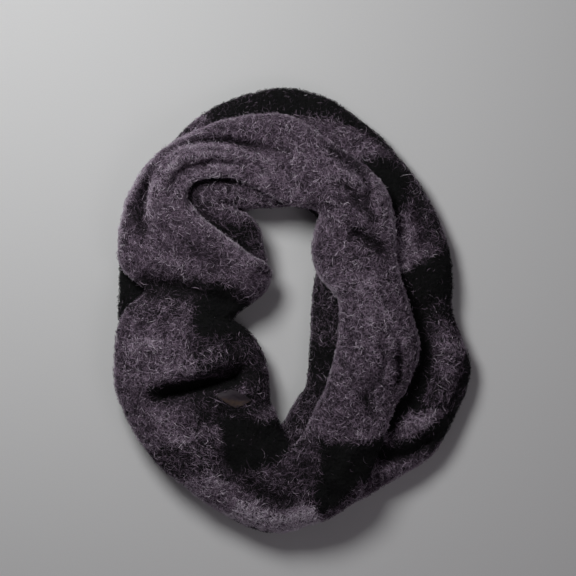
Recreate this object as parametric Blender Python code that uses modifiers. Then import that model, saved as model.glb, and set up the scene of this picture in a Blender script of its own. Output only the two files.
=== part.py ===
"""A plaid infinity scarf: one loop of brushed knit, wound twice and laid down flat as a ring.

The back wrap lies on the surface and the front wrap lies on it. Both are heaps of folded cloth,
so each is a rounded solid with its layers showing at the sides. The front wrap is made in the
four stretches that show, and a roll of its inner layers shows at the upper left.
Sections are read across the ring, anticlockwise from the top. +X is right, +Y is up the ring,
+Z is away from the surface.
"""

import math
from collections import namedtuple

import bmesh
import bpy
from mathutils import Matrix, Vector
from mathutils.bvhtree import BVHTree

MM = 0.001
GAP = 0.35 * MM
SEAM = 0.3 * MM

# Spacing of the sections along the ring, finer between the two that the deep fold lies in
SECTION_STEP = 12 * MM
FINE_STEP = 4.5 * MM
FINE_SECTIONS = (22.7, 25.1)

# Points across the top
BACK_TOP_POINTS = 13
FRONT_TOP_POINTS = 15
ROLL_TOP_POINTS = 9

# A folded edge: how thick one layer is, how far the groove between two layers goes in
LAYER_THICK = 5 * MM
GROOVE_DEPTH = 2.2 * MM
BACK_LAYERS = 3
FRONT_LAYERS = 2
ROLL_LAYERS = 2
LAYER_SHAPE = ((0.0, 1.0), (0.3, 0.15), (0.7, 0.0))
LAYER_WAVE = 0.4
LAYER_LIFT = 0.25
LAYER_TURN = 2.1
LAYER_WAVE_LENGTH = 93 * MM

# What lies on a heap bridges its hollows: it is held up by all that is within this reach
BRIDGE_REACH = 8 * MM
BRIDGE_DIRECTIONS = 8
LEAST_THICK = 4 * MM
CAST_HEIGHT = 0.3

# Section: outer and inner edge in plan, crest height, and the lowest height of its underside, in mm
Section = namedtuple("Section", "outer_x outer_y inner_x inner_y crest rest")

BACK_SECTIONS = (
    (-8.5, 188.5, -8.5, 90, 24, 0),
    (-36.5, 183.5, -26.5, 88.5, 24, 0),
    (-58.5, 176.5, -42.5, 85, 24, 0),
    (-76.5, 167, -50, 79, 24, 0),
    (-92.5, 153, -53.5, 72, 24, 0),
    (-109.5, 132.5, -56, 64.5, 24, 0),
    (-124, 112, -58, 57, 24, 0),
    (-134.5, 92.5, -58.5, 47.5, 23, 0),
    (-141, 72, -59.5, 37.5, 23, 0),
    (-146, 51, -60.5, 26.5, 22, 0),
    (-147.5, 27, -61, 15.5, 22, 0),
    (-148, 4, -61, 1.5, 22, 0),
    (-147.5, -18.5, -60.5, -15.5, 22, 0),
    (-146, -42.5, -57, -32.5, 23, 0),
    (-143.5, -66.5, -50, -49.5, 24, 0),
    (-135, -88.5, -41.5, -64.5, 24, 0),
    (-121.5, -109, -33, -77.5, 24, 0),
    (-103, -128.5, -25.5, -87.5, 24, 0),
    (-81.5, -145.5, -19.5, -94.5, 24, 0),
    (-57, -161.5, -15.5, -98.5, 24, 0),
    (-30, -174, -12, -100.5, 24, 0),
    (-1, -177, -8.5, -98.5, 24, 0),
    (27, -172.5, -5, -94.5, 24, 0),
    (56, -162.5, -1, -86.5, 25, 0),
    (81, -147, 4, -78, 26, 0),
    (102, -134.5, 8.5, -72, 27, 0),
    (122.5, -118, 12, -66.5, 28, 0),
    (135, -95, 14, -54.5, 28, 0),
    (145.5, -72, 15.5, -41, 28, 0),
    (151, -50, 16, -27, 28, 0),
    (144.5, -27, 17, -13, 28, 0),
    (135, 0, 17.5, 4, 27, 0),
    (135, 23, 19.5, 23, 27, 0),
    (132.5, 51, 23, 41, 26, 0),
    (123, 77.5, 25.5, 55, 26, 0),
    (108, 104.5, 27, 68, 26, 0),
    (88.5, 131, 21, 81, 25, 0),
    (67, 153, 12, 87.5, 24, 0),
    (44, 171, 3.5, 89, 24, 0),
    (18.5, 183.5, -2.5, 90, 24, 0),
)

FRONT_SECTIONS = (
    (-8.5, 165, -25, 101.5, 44, 14),
    (-26.5, 165, -36, 107, 45, 14),
    (-42.5, 163, -46, 111.5, 46, 14),
    (-59.5, 160, -59.5, 113, 47, 14),
    (-75, 154.5, -72, 113, 48, 14),
    (-91, 148, -84, 109.5, 49, 14),
    (-106, 137.5, -90, 102, 50, 13),
    (-121.5, 124, -90, 93.5, 50, 12),
    (-132, 110.5, -85, 86, 50, 12),
    (-139.5, 96, -75, 75, 50, 12),
    (-144.5, 81.5, -62, 65.5, 50, 13),
    (-147, 68, -50, 56, 50, 15),
    (-148, 55, -37.5, 46, 49, 17),
    (-147, 42.5, -23, 37.5, 47, 18),
    (-142, 33, -19.5, 28, 46, 18),
    (-133.5, 26.5, -25.5, 15.5, 45, 17),
    (-126, 21, -39, 5, 44, 16),
    (-124, 15.5, -51, -5, 44, 14),
    (-129, 9.5, -52, -10, 45, 13),
    (-138.5, 2.5, -43.5, -14.5, 47, 12),
    (-146, -10, -36.5, -20.5, 49, 12),
    (-150, -25.5, -31.5, -29, 50, 12),
    (-151, -39, -26.5, -40, 51, 12),
    (-150.5, -56, -23.5, -48.5, 51, 12),
    (-148, -73, -22, -57, 49, 12),
    (-144, -83.5, -21.5, -68, 47, 12),
    (-138.5, -96, -21, -77.5, 46, 12),
    (-129, -112, -18.5, -82.5, 46, 12),
    (-118, -126, -16, -86.5, 46, 12),
    (-105.5, -137, -13.5, -94.5, 46, 12),
    (-93.5, -147, -12, -100.5, 45, 11),
    (-77.5, -160, -8.5, -105.5, 45, 10),
    (-61, -170.5, -6, -111, 44, 10),
    (-45, -181, -3.5, -114, 44, 8),
    (-26.5, -188, -1.5, -115.5, 43, 8),
    (-8.5, -188.5, 0.5, -115.5, 42, 8),
    (9.5, -183.5, 2.5, -114.5, 42, 10),
    (27, -177.5, 4.5, -112.5, 43, 10),
    (44, -169, 7, -109.5, 44, 12),
    (58, -153, 10, -105.5, 45, 14),
    (68, -131, 13, -100, 46, 14),
    (76.5, -108, 16.5, -92.5, 47, 14),
    (84, -83.5, 22.5, -80, 48, 14),
    (93.5, -68, 29, -65, 49, 14),
    (101, -52.5, 34, -49, 51, 14),
    (106, -36.5, 37.5, -34, 52, 14),
    (103.5, -17, 40, -15.5, 53, 14),
    (97, 5, 41, 0, 53, 14),
    (93.5, 15.5, 39, 11, 53, 14),
    (90, 26.5, 30, 21, 52, 14),
    (87.5, 41, 21, 32.5, 51, 14),
    (86.5, 51, 17, 50, 50, 14),
    (85, 69, 19.5, 67, 50, 14),
    (82.5, 87.5, 24, 81, 50, 14),
    (77.5, 103.5, 20.5, 86, 50, 14),
    (67, 116.5, 13, 88.5, 49, 14),
    (55, 126, 6, 89, 48, 14),
    (40, 136, 1.5, 89, 47, 14),
    (21, 149.5, -5, 90.5, 46, 14),
    (6, 160, -14, 95, 45, 14),
)

ROLL_SECTIONS = (
    (5, 119, 4, 93, 33, 16),
    (-8.5, 119, -8.5, 89.5, 36, 16),
    (-26.5, 119, -26.5, 88.5, 38, 16),
    (-42.5, 118, -41, 88.5, 39, 16),
    (-57, 118, -52, 88.5, 40, 16),
    (-73, 118, -55, 88.5, 41, 16),
    (-87.5, 113, -56, 87.5, 41, 16),
    (-94.5, 102, -54.5, 86.5, 41, 16),
    (-91, 90, -47, 83.5, 41, 16),
    (-80, 75.5, -36.5, 78, 40, 16),
    (-67, 64.5, -30, 70.5, 38, 16),
    (-54.5, 54.5, -27.5, 58.5, 35, 16),
    (-41.5, 45, -25.5, 47.5, 31, 16),
    (-31.5, 39, -23, 41, 26, 16),
)

# Fold: a ridge or trough (rise below 0) through three points in plan, its half width and rise, in mm
Fold = namedtuple("Fold", "x0 y0 x1 y1 x2 y2 half_width rise")

FRONT_FOLDS = (
    # upper left: the trough inside the outer rim, its deep end, the crest beside it and the rim
    (-61, 149, -113, 124, -126.5, 73, 6, -8),
    (-130, 93, -131, 80, -126, 62, 6, -6),
    (-60, 139, -108, 116, -119, 60, 8, 4),
    (-65, 157, -129, 111, -145, 55, 6, 4),
    # upper left: the lip over the roll and the slack hollow below it
    (-88, 92, -56, 63, -24, 42, 6, 4),
    (-100, 60, -78, 48, -52, 36, 9, -3),
    # waist
    (-134, 24, -88, 16, -42, 3, 10, -9),
    # lobe: its lip over the deep fold, the deep fold, and the slack beside the inner edge
    (-124, -60, -86, -51, -42, -40, 9, 4),
    (-118, -75, -80, -64, -34, -50, 7.5, -22),
    (-52, -24, -50, -38, -40, -52, 7, -5),
    (-140, -40, -120, -30, -96, -34, 9, 3),
    # lower left and bottom
    (-66, -116, -36, -149, 6, -167, 7, -5),
    (-112, -86, -96, -112, -60, -140, 9, 4),
    (-70, -84, -44, -96, -20, -118, 7, -3),
    (12, -122, 18, -144, 44, -160, 7, -4),
    (66, -102, 48, -120, 40, -148, 7, 4),
    # right panel: its trough, the lower lip of the bulge, the rim and the small pocket
    (44, 65, 64, 58, 80, 41, 6, -8),
    (22, 34, 31, 22, 44, 12, 6, 4),
    (50, 112, 76, 92, 88, 34, 6, 3),
    (44, 100, 62, 90, 70, 70, 6, -4),
    (87, -34, 90, -51, 86, -67, 4, -9),
    (58, -67, 64, -81, 66, -94, 5, -4),
    (52, 40, 66, -10, 62, -60, 12, 3),
)

ROLL_FOLDS = (
    # the crease that the front wrap's lip lies in
    (-40, 109, -72, 109.5, -89, 100, 4.5, -6),
    (-88, 100, -66, 73, -30, 45, 4.5, -7),
)

BACK_FOLDS = (
    # top right: the crest along the rim, and the trough outside it
    (20, 166, 62, 160, 84, 140, 5, 5),
    (24, 176, 64, 160, 88, 136, 4, -5),
    # the outer band that shows on the right: the trough beside the front wrap and the facets
    (78, 130, 104, 92, 110, 40, 6, -4),
    (93, 38, 106, 20, 114, 4, 5, 5),
    (114, 48, 126, 34, 133, 16, 5, 4),
    (100, 14, 112, -14, 112, -50, 6, -7),
    (120, -22, 134, -40, 132, -66, 9, 5),
    (142, -38, 143, -60, 134, -84, 4, -5),
    # lower right: two crests with the dark trough between them
    (88, -98, 108, -96, 122, -108, 7, 5),
    (60, -118, 92, -126, 124, -104, 6, -8),
    (64, -130, 82, -138, 104, -130, 6, 4),
)

# Stretch of the front wrap: its first and last section, counted from the top
Stretch = namedtuple("Stretch", "name first last red green blue")

FRONT_STRETCHES = (
    ("front_upper_left", 0, 16.5, 0.060, 0.045, 0.064),
    ("front_left", 16.5, 24.6, 0.050, 0.040, 0.054),
    ("front_bottom", 24.6, 41.5, 0.022, 0.020, 0.024),
    ("front_right", 41.5, 60, 0.045, 0.034, 0.048),
)
BACK_COLOUR = (0.020, 0.018, 0.022)
ROLL_COLOUR = (0.052, 0.040, 0.056)
TAB_COLOUR = (0.045, 0.025, 0.012)
CLOTH_ROUGHNESS = 0.95
TAB_ROUGHNESS = 0.6

# How square a heap is across its top: a high power is flat with quick shoulders
BACK_CROWN = (4.0, 0.5)
FRONT_CROWN = (2.6, 0.6)
ROLL_CROWN = (2.2, 0.6)

# A fold fades out towards a heap's edge and over the first and last fifth of its path
FOLD_FADE = 9 * MM
FOLD_PIECES = 10
FOLD_REACH = 3
FOLD_END_SHARE = 0.2
FOLD_END_LEAST = 0.15

# The roll's free end is rounded down over this length, through these shares of it
ROLL_END = 10 * MM
ROLL_END_SHARES = (0.12, 0.35, 0.7, 1.0)
ROLL_END_LEAST = 0.35

# The small bare tab that lies below the deep fold
TAB_LENGTH = 32 * MM
TAB_WIDTH = 11 * MM
TAB_THICK = 1.2 * MM
TAB_PLACE = (-52 * MM, -75 * MM)
TAB_TURN = math.radians(-14)
TAB_CELLS = (8, 3)


def mix(a, b, share):
    """The value that lies at this share of the way from a to b."""
    return a + (b - a) * share


def distances(rows):
    """How far along the middle of the heap each section lies, in metres."""
    middles = [Vector(((r[0] + r[2]) / 2, (r[1] + r[3]) / 2)) * MM for r in rows]
    along = [0.0]
    for here, before in zip(middles[1:], middles):
        along.append(along[-1] + (here - before).length)
    return along


def section_at(rows, along, closed, place):
    """The section at a place along the heap, on a smooth curve through the rows."""
    count = len(rows)
    if closed:
        place = place % along[-1]
    k = 0
    while k < len(along) - 2 and along[k + 1] <= place:
        k += 1

    def row(i):
        return rows[i % count] if closed else rows[min(max(i, 0), count - 1)]

    def station(i):
        if closed:
            last = len(along) - 1
            return along[i % last] + along[-1] * (i // last)
        return along[min(max(i, 0), count - 1)]

    length = station(k + 1) - station(k)
    share = (place - station(k)) / length
    values = []
    for column in range(len(rows[0])):
        a, b = row(k)[column], row(k + 1)[column]
        slope_a = (b - row(k - 1)[column]) / (station(k + 1) - station(k - 1)) * length
        slope_b = (row(k + 2)[column] - a) / (station(k + 2) - station(k)) * length
        s2, s3 = share**2, share**3
        value = (2 * s3 - 3 * s2 + 1) * a + (s3 - 2 * s2 + share) * slope_a
        value += (3 * s2 - 2 * s3) * b + (s3 - s2) * slope_b
        values.append(value * MM)
    return Section(*values)


def place_of(along, index):
    """The place along the heap of a section counted from the first, between two as well."""
    k = min(int(index), len(along) - 2)
    return mix(along[k], along[k + 1], index - k)


def fold_paths(table):
    """Each fold's path as short straight pieces, with its half width and rise in metres."""
    paths = []
    for fold in (Fold(*row) for row in table):
        start, via, end = (Vector(fold[i : i + 2]) for i in (0, 2, 4))
        bend = via * 2 - (start + end) / 2
        points = []
        for i in range(FOLD_PIECES + 1):
            t = i / FOLD_PIECES
            points.append((start * (1 - t) ** 2 + bend * 2 * t * (1 - t) + end * t * t) * MM)
        paths.append((points, fold.half_width * MM, fold.rise * MM))
    return paths


def fold_rise(paths, point):
    """How far the folds raise or lower the cloth at a point in plan."""
    total = 0.0
    for points, half_width, rise in paths:
        nearest, at = half_width * FOLD_REACH, 0.0
        for i in range(len(points) - 1):
            piece = points[i + 1] - points[i]
            share = min(max((point - points[i]).dot(piece) / piece.length_squared, 0.0), 1.0)
            apart = (point - points[i] - piece * share).length
            if apart < nearest:
                nearest, at = apart, (i + share) / (len(points) - 1)
        ends = min(1.0, min(at, 1 - at) / FOLD_END_SHARE + FOLD_END_LEAST)
        total += rise * ends * math.exp(-((nearest / half_width) ** 2))
    return total


class Support:
    """The tops of the heaps that a stretch lies on."""

    def __init__(self, objects):
        self.trees = []
        for ob in objects:
            mesh = bmesh.new()
            mesh.from_mesh(ob.data)
            self.trees.append(BVHTree.FromBMesh(mesh))
            mesh.free()

    def height(self, x, y, lowest):
        """The height that the cloth rests at here, bridging what is within its reach."""
        best = lowest
        places = [(x, y)]
        for i in range(BRIDGE_DIRECTIONS):
            angle = 2 * math.pi * i / BRIDGE_DIRECTIONS
            for reach in (BRIDGE_REACH / 2, BRIDGE_REACH):
                places.append((x + reach * math.cos(angle), y + reach * math.sin(angle)))
        for px, py in places:
            for tree in self.trees:
                hit = tree.ray_cast(Vector((px, py, CAST_HEIGHT)), Vector((0, 0, -1)))
                if hit[0] is not None:
                    best = max(best, hit[0].z + GAP)
        return best


def crown(a, shape):
    """The rounded height across a heap, 0 at its edges and 1 along its middle."""
    power, fullness = shape
    return (1 - abs(2 * a - 1) ** power) ** fullness


def ring_of_points(section, place, kind, support, folds, fullness):
    """One closed section: up the outer side, over the top, down the inner side and back below."""
    outer = Vector((section.outer_x, section.outer_y))
    inner = Vector((section.inner_x, section.inner_y))
    width = (inner - outer).length
    across = (inner - outer) / width

    def below(distance):
        if support is None:
            return section.rest
        spot = outer + across * distance
        return support.height(spot.x, spot.y, section.rest)

    def side(top, foot):
        """Distance in from the edge and height of each point up a side of stacked layers."""
        points = []
        for layer in range(kind.layers):
            turn = 2 * math.pi * place / LAYER_WAVE_LENGTH + LAYER_TURN * layer + kind.phase
            wave = LAYER_WAVE * math.sin(turn)
            lift = LAYER_LIFT * math.cos(turn) if layer else 0.0
            for share, inset in LAYER_SHAPE:
                level = (layer + lift + share * (1 - lift)) / kind.layers
                points.append((GROOVE_DEPTH * inset * (1 + wave), mix(foot, top, level)))
        return points

    outer_foot, inner_foot = below(GROOVE_DEPTH), below(width - GROOVE_DEPTH)
    thick = kind.layers * LAYER_THICK * fullness
    outer_top, inner_top = outer_foot + thick, inner_foot + thick

    points = []
    for inset, z in side(outer_top, outer_foot):
        points.append((inset, z))
    for i in range(kind.top_points):
        a = 0.5 - 0.5 * math.cos(math.pi * (i + 0.5) / kind.top_points)
        edge = mix(outer_top, inner_top, a)
        z = edge + (max(section.crest, edge) - edge) * crown(a, kind.crown) * fullness
        spot = outer + across * width * a
        to_edge = min(a, 1 - a) * width
        z += fold_rise(folds, spot) * min(1.0, to_edge / FOLD_FADE) * fullness
        points.append((a * width, max(z, below(a * width) + LEAST_THICK)))
    for inset, z in reversed(side(inner_top, inner_foot)):
        points.append((width - inset, z))
    for i in range(1, kind.bottom_points + 1):
        distance = mix(width - GROOVE_DEPTH, GROOVE_DEPTH, i / (kind.bottom_points + 1))
        points.append((distance, below(distance)))
    return [Vector((*(outer + across * d), z)) for d, z in points]


Kind = namedtuple("Kind", "layers top_points bottom_points crown phase")
BACK = Kind(BACK_LAYERS, BACK_TOP_POINTS, 2, BACK_CROWN, 0.0)
FRONT = Kind(FRONT_LAYERS, FRONT_TOP_POINTS, 7, FRONT_CROWN, 1.3)
ROLL = Kind(ROLL_LAYERS, ROLL_TOP_POINTS, 3, ROLL_CROWN, 2.6)


def cloth_material(name, colour, roughness):
    material = bpy.data.materials.new(name)
    material.use_nodes = True
    shader = material.node_tree.nodes["Principled BSDF"]
    shader.inputs["Base Color"].default_value = (*colour, 1.0)
    shader.inputs["Roughness"].default_value = roughness
    shader.inputs["Metallic"].default_value = 0.0
    return material


def loft(name, rings, closed, colour, collection):
    """A solid through the rings, each of the same number of points."""
    mesh = bmesh.new()
    loops = [[mesh.verts.new(point) for point in ring] for ring in rings]
    count = len(loops[0])
    spans = len(loops) if closed else len(loops) - 1
    for i in range(spans):
        here, there = loops[i], loops[(i + 1) % len(loops)]
        for j in range(count):
            k = (j + 1) % count
            mesh.faces.new((here[j], here[k], there[k], there[j]))
    if not closed:
        mesh.faces.new(loops[0][::-1])
        mesh.faces.new(loops[-1])
    bmesh.ops.triangulate(mesh, faces=mesh.faces[:])
    bmesh.ops.recalc_face_normals(mesh, faces=mesh.faces[:])
    data = bpy.data.meshes.new(name)
    mesh.to_mesh(data)
    mesh.free()
    data.shade_smooth()
    ob = bpy.data.objects.new(name, data)
    ob.data.materials.append(cloth_material(name + "_cloth", colour, CLOTH_ROUGHNESS))
    collection.objects.link(ob)
    return ob


def closed_distances(rows):
    """Distances along a ring, ending with the way back to its first section."""
    return distances(tuple(rows) + (rows[0],))


def places_between(start, end, fine=(0.0, 0.0)):
    """Places from start to end, a section's step apart and closer within the fine stretch."""
    cuts = [start] + [cut for cut in fine if start < cut < end] + [end]
    places = [start]
    for here, there in zip(cuts, cuts[1:]):
        step = FINE_STEP if fine[0] <= (here + there) / 2 <= fine[1] else SECTION_STEP
        count = max(1, round((there - here) / step))
        places += [mix(here, there, i / count) for i in range(1, count + 1)]
    return places


def back_wrap(collection):
    along = closed_distances(BACK_SECTIONS)
    folds = fold_paths(BACK_FOLDS)
    rings = []
    for place in places_between(0, along[-1])[:-1]:
        section = section_at(BACK_SECTIONS, along, True, place)
        rings.append(ring_of_points(section, place, BACK, None, folds, 1.0))
    return loft("back_wrap", rings, True, BACK_COLOUR, collection)


def roll(collection, support):
    """The inner layers of the front wrap, which run out from under it and end in its point."""
    along = distances(ROLL_SECTIONS)
    folds = fold_paths(ROLL_FOLDS)
    places = places_between(SEAM, along[-1] - ROLL_END)
    places += [along[-1] - ROLL_END * (1 - share) for share in ROLL_END_SHARES]
    rings = []
    for place in places:
        section = section_at(ROLL_SECTIONS, along, False, place)
        to_end = min(1.0, (along[-1] - place) / ROLL_END)
        fullness = max(ROLL_END_LEAST, math.sqrt(1 - (1 - to_end) ** 2))
        rings.append(ring_of_points(section, place, ROLL, support, folds, fullness))
    return loft("inner_roll", rings, False, ROLL_COLOUR, collection)


def front_stretch(stretch, support, folds, collection):
    along = closed_distances(FRONT_SECTIONS)
    start = place_of(along, stretch.first) + SEAM / 2
    end = place_of(along, stretch.last) - SEAM / 2
    fine = tuple(place_of(along, index) for index in FINE_SECTIONS)
    rings = []
    for place in places_between(start, end, fine):
        section = section_at(FRONT_SECTIONS, along, True, place)
        rings.append(ring_of_points(section, place, FRONT, support, folds, 1.0))
    colour = (stretch.red, stretch.green, stretch.blue)
    return loft(stretch.name, rings, False, colour, collection)


def tab(collection, support):
    """A small bare tab, laid on the cloth below the deep fold."""
    mesh = bmesh.new()
    columns, rows = TAB_CELLS
    grid = []
    for i in range(columns + 1):
        line = []
        for j in range(rows + 1):
            x, y = mix(-0.5, 0.5, i / columns) * TAB_LENGTH, mix(-0.5, 0.5, j / rows) * TAB_WIDTH
            place = Vector((x, y))
            place.rotate(Matrix.Rotation(TAB_TURN, 2))
            place += Vector(TAB_PLACE)
            line.append(mesh.verts.new((place.x, place.y, support.height(place.x, place.y, 0.0))))
        grid.append(line)
    for i in range(columns):
        for j in range(rows):
            mesh.faces.new((grid[i][j], grid[i + 1][j], grid[i + 1][j + 1], grid[i][j + 1]))
    data = bpy.data.meshes.new("tab")
    mesh.to_mesh(data)
    mesh.free()
    ob = bpy.data.objects.new("tab", data)
    ob.data.materials.append(cloth_material("tab_leather", TAB_COLOUR, TAB_ROUGHNESS))
    collection.objects.link(ob)
    wall = ob.modifiers.new("wall", "SOLIDIFY")
    wall.thickness = TAB_THICK
    wall.offset = 1.0
    return ob


def centre(objects):
    """Moves the scarf so that the middle of its box is over the origin, standing on z = 0."""
    corners = [v.co for ob in objects for v in ob.data.vertices]
    low = Vector([min(c[i] for c in corners) for i in range(3)])
    high = Vector([max(c[i] for c in corners) for i in range(3)])
    move = Vector((-(low.x + high.x) / 2, -(low.y + high.y) / 2, -low.z))
    for ob in objects:
        for v in ob.data.vertices:
            v.co += move


def main():
    for ob in list(bpy.data.objects):
        bpy.data.objects.remove(ob)
    collection = bpy.data.collections.new("plaid_infinity_scarf")
    bpy.context.scene.collection.children.link(collection)

    back = back_wrap(collection)
    inner_roll = roll(collection, Support([back]))
    support = Support([back, inner_roll])
    folds = fold_paths(FRONT_FOLDS)
    fronts = []
    for row in FRONT_STRETCHES:
        fronts.append(front_stretch(Stretch(*row), support, folds, collection))
    small_tab = tab(collection, Support(fronts))
    centre([back, inner_roll, *fronts, small_tab])


main()
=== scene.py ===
import math
from collections import namedtuple

import bpy
import numpy as np
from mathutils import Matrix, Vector, noise
from mathutils.bvhtree import BVHTree


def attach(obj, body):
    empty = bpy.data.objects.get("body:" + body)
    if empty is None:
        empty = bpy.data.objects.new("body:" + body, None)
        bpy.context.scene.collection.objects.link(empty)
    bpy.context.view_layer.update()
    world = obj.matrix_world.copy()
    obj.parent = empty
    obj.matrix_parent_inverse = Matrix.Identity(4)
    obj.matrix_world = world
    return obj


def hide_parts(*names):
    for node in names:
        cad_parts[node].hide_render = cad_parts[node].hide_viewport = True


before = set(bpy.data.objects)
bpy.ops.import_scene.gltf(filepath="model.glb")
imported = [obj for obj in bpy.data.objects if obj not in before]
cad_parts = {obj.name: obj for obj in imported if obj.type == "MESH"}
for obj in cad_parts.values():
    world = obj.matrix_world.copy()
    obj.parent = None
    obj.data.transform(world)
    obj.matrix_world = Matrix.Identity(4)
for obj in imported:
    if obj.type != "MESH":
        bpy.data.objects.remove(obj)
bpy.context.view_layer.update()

MM = 0.001
GAP = 0.5 * MM

# The part's box is centred over the origin, so its tables move by this much
CENTRE_MOVE = (0.219 * MM, 0.046 * MM)

# The heaps, as in the part: outer edge, inner edge, crest and rest, in mm

BACK_SECTIONS = (
    (-8.5, 188.5, -8.5, 90, 24, 0),
    (-36.5, 183.5, -26.5, 88.5, 24, 0),
    (-58.5, 176.5, -42.5, 85, 24, 0),
    (-76.5, 167, -50, 79, 24, 0),
    (-92.5, 153, -53.5, 72, 24, 0),
    (-109.5, 132.5, -56, 64.5, 24, 0),
    (-124, 112, -58, 57, 24, 0),
    (-134.5, 92.5, -58.5, 47.5, 23, 0),
    (-141, 72, -59.5, 37.5, 23, 0),
    (-146, 51, -60.5, 26.5, 22, 0),
    (-147.5, 27, -61, 15.5, 22, 0),
    (-148, 4, -61, 1.5, 22, 0),
    (-147.5, -18.5, -60.5, -15.5, 22, 0),
    (-146, -42.5, -57, -32.5, 23, 0),
    (-143.5, -66.5, -50, -49.5, 24, 0),
    (-135, -88.5, -41.5, -64.5, 24, 0),
    (-121.5, -109, -33, -77.5, 24, 0),
    (-103, -128.5, -25.5, -87.5, 24, 0),
    (-81.5, -145.5, -19.5, -94.5, 24, 0),
    (-57, -161.5, -15.5, -98.5, 24, 0),
    (-30, -174, -12, -100.5, 24, 0),
    (-1, -177, -8.5, -98.5, 24, 0),
    (27, -172.5, -5, -94.5, 24, 0),
    (56, -162.5, -1, -86.5, 25, 0),
    (81, -147, 4, -78, 26, 0),
    (102, -134.5, 8.5, -72, 27, 0),
    (122.5, -118, 12, -66.5, 28, 0),
    (135, -95, 14, -54.5, 28, 0),
    (145.5, -72, 15.5, -41, 28, 0),
    (151, -50, 16, -27, 28, 0),
    (144.5, -27, 17, -13, 28, 0),
    (135, 0, 17.5, 4, 27, 0),
    (135, 23, 19.5, 23, 27, 0),
    (132.5, 51, 23, 41, 26, 0),
    (123, 77.5, 25.5, 55, 26, 0),
    (108, 104.5, 27, 68, 26, 0),
    (88.5, 131, 21, 81, 25, 0),
    (67, 153, 12, 87.5, 24, 0),
    (44, 171, 3.5, 89, 24, 0),
    (18.5, 183.5, -2.5, 90, 24, 0),
)

FRONT_SECTIONS = (
    (-8.5, 165, -25, 101.5, 44, 14),
    (-26.5, 165, -36, 107, 45, 14),
    (-42.5, 163, -46, 111.5, 46, 14),
    (-59.5, 160, -59.5, 113, 47, 14),
    (-75, 154.5, -72, 113, 48, 14),
    (-91, 148, -84, 109.5, 49, 14),
    (-106, 137.5, -90, 102, 50, 13),
    (-121.5, 124, -90, 93.5, 50, 12),
    (-132, 110.5, -85, 86, 50, 12),
    (-139.5, 96, -75, 75, 50, 12),
    (-144.5, 81.5, -62, 65.5, 50, 13),
    (-147, 68, -50, 56, 50, 15),
    (-148, 55, -37.5, 46, 49, 17),
    (-147, 42.5, -23, 37.5, 47, 18),
    (-142, 33, -19.5, 28, 46, 18),
    (-133.5, 26.5, -25.5, 15.5, 45, 17),
    (-126, 21, -39, 5, 44, 16),
    (-124, 15.5, -51, -5, 44, 14),
    (-129, 9.5, -52, -10, 45, 13),
    (-138.5, 2.5, -43.5, -14.5, 47, 12),
    (-146, -10, -36.5, -20.5, 49, 12),
    (-150, -25.5, -31.5, -29, 50, 12),
    (-151, -39, -26.5, -40, 51, 12),
    (-150.5, -56, -23.5, -48.5, 51, 12),
    (-148, -73, -22, -57, 49, 12),
    (-144, -83.5, -21.5, -68, 47, 12),
    (-138.5, -96, -21, -77.5, 46, 12),
    (-129, -112, -18.5, -82.5, 46, 12),
    (-118, -126, -16, -86.5, 46, 12),
    (-105.5, -137, -13.5, -94.5, 46, 12),
    (-93.5, -147, -12, -100.5, 45, 11),
    (-77.5, -160, -8.5, -105.5, 45, 10),
    (-61, -170.5, -6, -111, 44, 10),
    (-45, -181, -3.5, -114, 44, 8),
    (-26.5, -188, -1.5, -115.5, 43, 8),
    (-8.5, -188.5, 0.5, -115.5, 42, 8),
    (9.5, -183.5, 2.5, -114.5, 42, 10),
    (27, -177.5, 4.5, -112.5, 43, 10),
    (44, -169, 7, -109.5, 44, 12),
    (58, -153, 10, -105.5, 45, 14),
    (68, -131, 13, -100, 46, 14),
    (76.5, -108, 16.5, -92.5, 47, 14),
    (84, -83.5, 22.5, -80, 48, 14),
    (93.5, -68, 29, -65, 49, 14),
    (101, -52.5, 34, -49, 51, 14),
    (106, -36.5, 37.5, -34, 52, 14),
    (103.5, -17, 40, -15.5, 53, 14),
    (97, 5, 41, 0, 53, 14),
    (93.5, 15.5, 39, 11, 53, 14),
    (90, 26.5, 30, 21, 52, 14),
    (87.5, 41, 21, 32.5, 51, 14),
    (86.5, 51, 17, 50, 50, 14),
    (85, 69, 19.5, 67, 50, 14),
    (82.5, 87.5, 24, 81, 50, 14),
    (77.5, 103.5, 20.5, 86, 50, 14),
    (67, 116.5, 13, 88.5, 49, 14),
    (55, 126, 6, 89, 48, 14),
    (40, 136, 1.5, 89, 47, 14),
    (21, 149.5, -5, 90.5, 46, 14),
    (6, 160, -14, 95, 45, 14),
)

ROLL_SECTIONS = (
    (5, 119, 4, 93, 33, 16),
    (-8.5, 119, -8.5, 89.5, 36, 16),
    (-26.5, 119, -26.5, 88.5, 38, 16),
    (-42.5, 118, -41, 88.5, 39, 16),
    (-57, 118, -52, 88.5, 40, 16),
    (-73, 118, -55, 88.5, 41, 16),
    (-87.5, 113, -56, 87.5, 41, 16),
    (-94.5, 102, -54.5, 86.5, 41, 16),
    (-91, 90, -47, 83.5, 41, 16),
    (-80, 75.5, -36.5, 78, 40, 16),
    (-67, 64.5, -30, 70.5, 38, 16),
    (-54.5, 54.5, -27.5, 58.5, 35, 16),
    (-41.5, 45, -25.5, 47.5, 31, 16),
    (-31.5, 39, -23, 41, 26, 16),
)

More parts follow.
